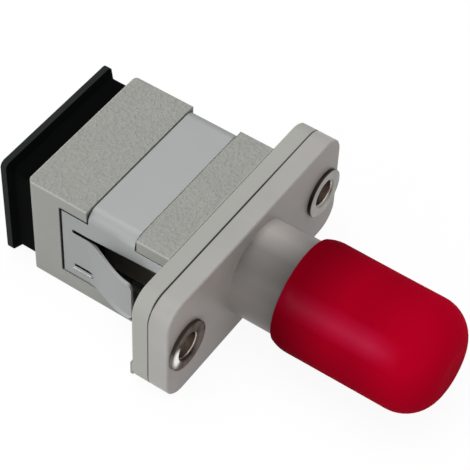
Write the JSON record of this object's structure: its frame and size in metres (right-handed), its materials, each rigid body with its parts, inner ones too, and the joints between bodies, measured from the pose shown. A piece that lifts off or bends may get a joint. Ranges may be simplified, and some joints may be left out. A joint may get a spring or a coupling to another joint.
{
  "type": "hybrid fibre adapter",
  "caption": "Hybrid fibre adapter with a square push-pull port and a round bayonet port on a two-hole flange, with a steel panel clip, a black dust plug and a red dust cap.",
  "frame": {"origin": "on the optical axis, where the two flange halves meet", "axes": "+X along the optical axis towards the round port, +Y along the flange, +Z through the flange's thin side, away from the side the part lies on"},
  "size_m": [0.0355, 0.0224, 0.0098],
  "materials": {
    "grey_housing": "fine spark-eroded texture",
    "grey_round_housing": "smooth moulded",
    "clip_steel": "satin",
    "latch_black": "moulded",
    "sleeve_ceramic": "polished",
    "bush_steel": "turned",
    "plug_black": "satin moulded",
    "cap_red": "soft satin"
  },
  "bodies": {
    "adapter": {"square_port_housing": "grey_housing", "round_port_housing": "grey_round_housing", "retaining_clip": "clip_steel", "latch_insert": "latch_black", "alignment_sleeve": "sleeve_ceramic", "fixing_bush_near": "bush_steel", "fixing_bush_far": "bush_steel"},
    "dust_plug": {"square_dust_plug": "plug_black"},
    "dust_cap": {"round_dust_cap": "cap_red"}
  },
  "joints": [
    {"name": "square_plug_pull", "type": "slide", "parent": "adapter", "child": "dust_plug", "axis": [-1, 0, 0], "range_m": [0, 0.025]},
    {"name": "round_cap_pull", "type": "slide", "parent": "adapter", "child": "dust_cap", "axis": [1, 0, 0], "range_m": [0, 0.025]}
  ]
}
